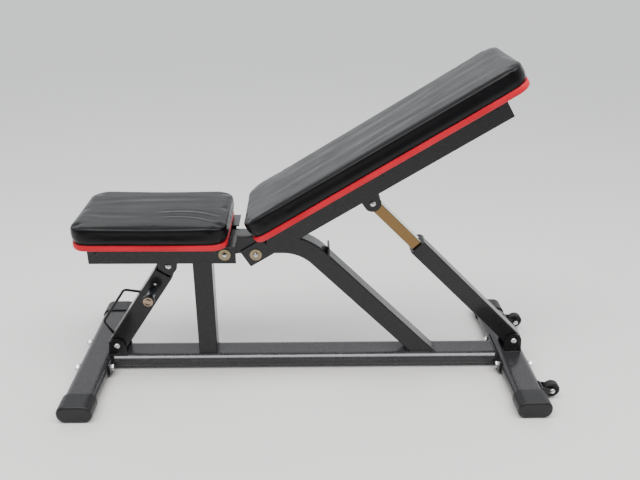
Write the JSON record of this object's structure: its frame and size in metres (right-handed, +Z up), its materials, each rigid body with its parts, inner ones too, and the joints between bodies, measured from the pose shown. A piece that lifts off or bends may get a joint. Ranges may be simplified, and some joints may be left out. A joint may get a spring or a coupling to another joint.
{
  "type": "adjustable weight bench",
  "caption": "Adjustable weight bench: tilting seat and reclining backrest on a bent steel beam, each held by a telescopic strut, with cross feet and transport wheels.",
  "frame": {"origin": "on the floor, under the middle of the bench's outer dimensions", "axes": "+X from the seat end to the head end, +Y to the side away from the seat strut's knob, +Z up"},
  "size_m": [1.288, 0.515, 0.8541],
  "materials": {
    "frame_paint": "satin dark charcoal paint with a fine metallic sparkle",
    "pad_cover": "semi-gloss black leatherette with a red band round the lower edge",
    "plywood": "bare plywood",
    "chrome_tube": "polished chrome",
    "zinc": "bright zinc",
    "satin_steel": "satin grey steel",
    "yellow_zinc": "yellow passivated zinc",
    "black_plastic": "satin black plastic",
    "black_rubber": "matt black rubber"
  },
  "bodies": {
    "base": {"front_foot_tube": "frame_paint", "rear_foot_tube": "frame_paint", "front_foot_caps": "black_plastic", "rear_foot_caps": "black_plastic", "base_rail": "frame_paint", "front_rail_flange": "frame_paint", "rear_rail_flange": "frame_paint", "foot_bolts": "zinc", "foot_bolt_washers": "zinc", "foot_dome_nuts": "zinc", "support_post": "frame_paint", "bent_beam": "frame_paint", "beam_end_plug": "black_plastic", "seat_pivot_bush": "zinc", "back_pivot_bush": "zinc", "backrest_stop_plate": "frame_paint", "seat_strut_foot_bracket": "frame_paint", "seat_strut_foot_bolt": "zinc", "back_strut_foot_bracket": "frame_paint", "near_wheel_bracket": "frame_paint", "far_wheel_bracket": "frame_paint", "wheel_axle_bolts": "zinc", "wheel_axle_nuts": "zinc", "seat_pivot_bolt": "zinc", "seat_pivot_washers": "yellow_zinc"},
    "near_wheel": {"near_transport_wheel": "black_rubber"},
    "far_wheel": {"far_transport_wheel": "black_rubber"},
    "back_pivot_pin": {"back_pivot_bolt": "zinc", "back_pivot_washers": "yellow_zinc"},
    "backrest": {"backrest_frame": "frame_paint", "backrest_wings": "frame_paint", "backrest_screws": "zinc", "backrest_board": "plywood", "backrest_pad": "pad_cover", "back_strut_head_bracket": "frame_paint", "back_strut_head_bolt": "zinc"},
    "back_foot_pin": {"back_strut_foot_bolt": "zinc"},
    "back_outer": {"back_strut_outer": "frame_paint", "back_strut_sleeve": "black_plastic", "back_pin_barrel": "satin_steel", "back_pin_spring": "zinc"},
    "back_pin": {"back_pin_pin": "zinc", "back_pin_knob": "black_plastic"},
    "back_guide": {"back_strut_glide": "black_plastic"},
    "back_inner": {"back_strut_inner": "chrome_tube"},
    "seat": {"seat_frame": "frame_paint", "seat_wings": "frame_paint", "seat_screws": "zinc", "seat_board": "plywood", "seat_pad": "pad_cover", "seat_strut_head_bracket": "frame_paint", "seat_strut_head_bolt": "zinc"},
    "seat_outer": {"seat_strut_outer": "frame_paint", "seat_strut_sleeve": "black_plastic", "seat_pin_barrel": "satin_steel", "seat_pin_spring": "zinc", "carry_handle": "frame_paint"},
    "seat_pin": {"seat_pin_pin": "zinc", "seat_pin_knob": "black_plastic"},
    "seat_inner": {"seat_strut_inner": "frame_paint"}
  },
  "joints": [
    {"name": "near_wheel_spin", "type": "hinge", "parent": "base", "child": "near_wheel", "pos_m": [0.623, -0.168, 0.025], "axis": [0, 1, 0], "continuous": true},
    {"name": "far_wheel_spin", "type": "hinge", "parent": "base", "child": "far_wheel", "pos_m": [0.623, 0.168, 0.025], "axis": [0, 1, 0], "continuous": true},
    {"name": "backrest_lower", "type": "hinge", "parent": "base", "child": "back_pivot_pin", "pos_m": [-0.146, 0, 0.35], "axis": [0, -1, 0], "range_deg": [-32, 0]},
    {"name": "backrest_raise", "type": "hinge", "parent": "back_pivot_pin", "child": "backrest", "pos_m": [-0.146, 0, 0.35], "axis": [0, -1, 0], "range_deg": [0, 10]},
    {"name": "back_strut_swing_low", "type": "hinge", "parent": "base", "child": "back_foot_pin", "pos_m": [0.558, 0, 0.079], "axis": [0, -1, 0], "range_deg": [0, 14]},
    {"name": "back_strut_swing_high", "type": "hinge", "parent": "back_foot_pin", "child": "back_outer", "pos_m": [0.558, 0, 0.079], "axis": [0, -1, 0], "range_deg": [-1.5, 0]},
    {"name": "back_strut_shorten", "type": "slide", "parent": "back_outer", "child": "back_guide", "axis": [-0.708, 0, 0.7062], "range_m": [-0.132, 0]},
    {"name": "back_strut_extend", "type": "slide", "parent": "back_guide", "child": "back_inner", "axis": [-0.708, 0, 0.7062], "range_m": [0, 0.056]},
    {"name": "seat_tilt", "type": "hinge", "parent": "base", "child": "seat", "pos_m": [-0.226, 0, 0.35], "axis": [0, 1, 0], "range_deg": [0, 6]},
    {"name": "seat_strut_swing", "type": "hinge", "parent": "base", "child": "seat_outer", "pos_m": [-0.531, 0, 0.073], "axis": [0, -1, 0], "range_deg": [0, 2.2]},
    {"name": "seat_strut_extend", "type": "slide", "parent": "seat_outer", "child": "seat_inner", "axis": [0.5483, 0, 0.8363], "range_m": [0, 0.012]},
    {"name": "seat_pin_pull", "type": "slide", "parent": "seat_outer", "child": "seat_pin", "axis": [0, -1, 0], "range_m": [0, 0.01], "stiffness_N_per_m": 600, "springref_m": -0.004},
    {"name": "back_pin_pull", "type": "slide", "parent": "back_outer", "child": "back_pin", "axis": [0, 1, 0], "range_m": [0, 0.01], "stiffness_N_per_m": 600, "springref_m": -0.004}
  ],
  "couplings": [
    {"joint": "back_strut_swing_low", "follows": "backrest_lower", "ratio": -0.43321},
    {"joint": "back_strut_shorten", "follows": "backrest_lower", "m_per_rad": 0.23563},
    {"joint": "back_strut_swing_high", "follows": "backrest_raise", "ratio": -0.13683},
    {"joint": "back_strut_extend", "follows": "backrest_raise", "m_per_rad": 0.3147},
    {"joint": "seat_strut_swing", "follows": "seat_tilt", "ratio": 0.35069},
    {"joint": "seat_strut_extend", "follows": "seat_tilt", "m_per_rad": 0.11073}
  ]
}
